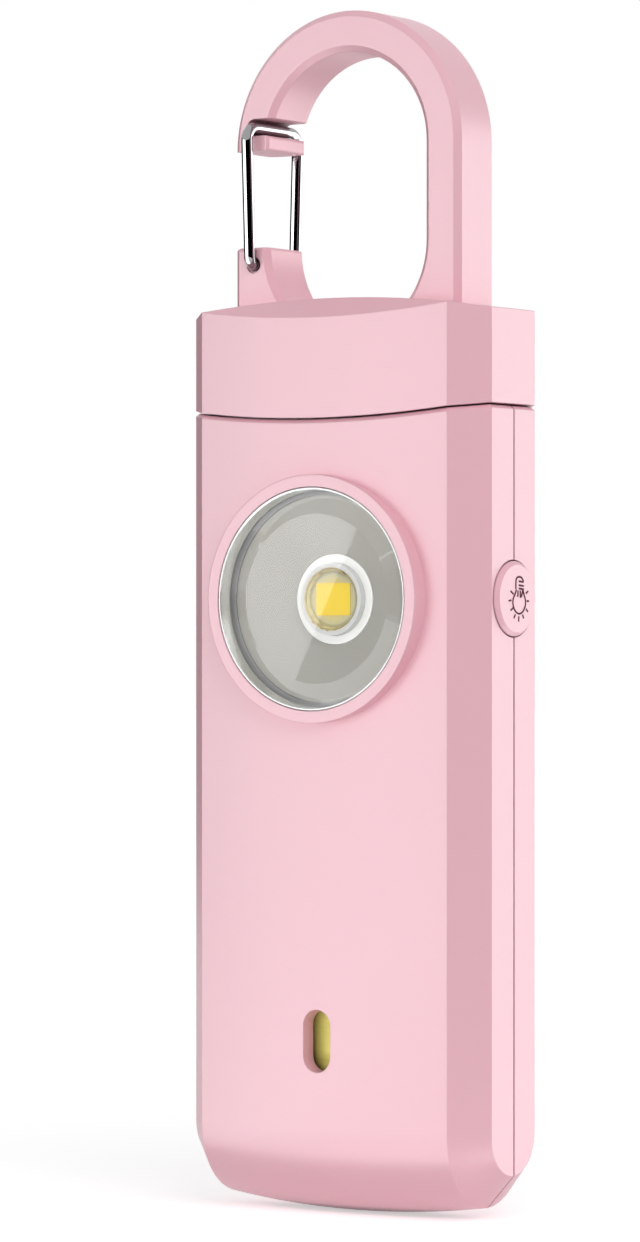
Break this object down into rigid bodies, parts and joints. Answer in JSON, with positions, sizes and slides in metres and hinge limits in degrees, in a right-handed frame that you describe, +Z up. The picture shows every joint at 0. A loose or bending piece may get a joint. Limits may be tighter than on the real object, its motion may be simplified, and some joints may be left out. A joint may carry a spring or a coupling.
{
  "type": "personal safety alarm",
  "caption": "Flat pocket alarm with a pull-off cap and pin, a wire-gate carabiner loop, a round front torch and a side button.",
  "frame": {"origin": "bottom of the case on its vertical axis, in the plane where the two shells meet", "axes": "+Z up through the cap and the loop, +X towards the torch button, -Y towards the torch"},
  "size_m": [0.0314, 0.0158, 0.105],
  "materials": {
    "pink_plastic": "smooth satin moulded plastic",
    "clear_plastic": "clear polished",
    "silver_metal": "bright satin",
    "chrome_wire": "polished",
    "soft_grey": "soft matt",
    "foam_grey": "foam",
    "white_plastic": "smooth",
    "white_ceramic": "fired ceramic",
    "yellow_phosphor": "gel",
    "aluminium_board": "white solder mask",
    "gold_contact": "plated",
    "green_board": "solder mask",
    "black_epoxy": "matt",
    "dark_ferrite": "matt",
    "steel_shell": "plated",
    "black_plastic": "matt",
    "silver_pouch": "satin foil",
    "brass_disc": "dull",
    "steel_pin": "smooth",
    "screw_steel": "dark plated"
  },
  "bodies": {
    "housing": {"front_shell": "pink_plastic", "rear_shell": "pink_plastic", "lens_window": "clear_plastic", "led_dome": "clear_plastic", "lens_retaining_ring": "silver_metal", "reflector_cup": "silver_metal", "lens_gasket": "soft_grey", "battery_pad": "foam_grey", "led_collar": "white_plastic", "led_base": "white_ceramic", "led_phosphor": "yellow_phosphor", "led_board": "aluminium_board", "led_pins": "gold_contact", "sounder_contacts": "gold_contact", "main_board": "green_board", "battery_circuit": "green_board", "control_chips": "black_epoxy", "siren_coil": "dark_ferrite", "charge_port": "steel_shell", "charge_port_tongue": "black_plastic", "battery_cell": "silver_pouch", "sounder_disc": "brass_disc", "sounder_ceramic": "white_ceramic", "sounder_retainer": "black_plastic", "light_switch": "black_plastic", "siren_switch": "black_plastic", "pin_socket": "white_plastic", "case_screws": "screw_steel"},
    "cap": {"top_cap": "pink_plastic", "cap_base": "pink_plastic", "cap_screws": "screw_steel", "pull_pin": "steel_pin", "carabiner_frame": "pink_plastic"},
    "gate": {"wire_gate": "chrome_wire"},
    "light_button": {"light_button": "pink_plastic", "light_plunger": "white_plastic"},
    "siren_plunger": {"siren_plunger": "white_plastic"}
  },
  "joints": [
    {"name": "cap_pull", "type": "slide", "parent": "housing", "child": "cap", "axis": [0, 0, 1], "range_m": [0, 0.025]},
    {"name": "gate_hinge", "type": "hinge", "parent": "cap", "child": "gate", "pos_m": [-0.00966, 0, 0.08315], "axis": [0, 1, 0], "range_deg": [0, 25], "stiffness_Nm_per_rad": 0.02, "springref_deg": -17.19},
    {"name": "light_button_press", "type": "slide", "parent": "housing", "child": "light_button", "axis": [-1, 0, 0], "range_m": [0, 0.0003], "stiffness_N_per_m": 3500, "springref_m": -0.0002},
    {"name": "siren_plunger_lift", "type": "slide", "parent": "housing", "child": "siren_plunger", "axis": [0, 0, 1], "range_m": [0, 0.001]}
  ],
  "couplings": [
    {"joint": "siren_plunger_lift", "follows": "cap_pull", "ratio": 0.04}
  ]
}
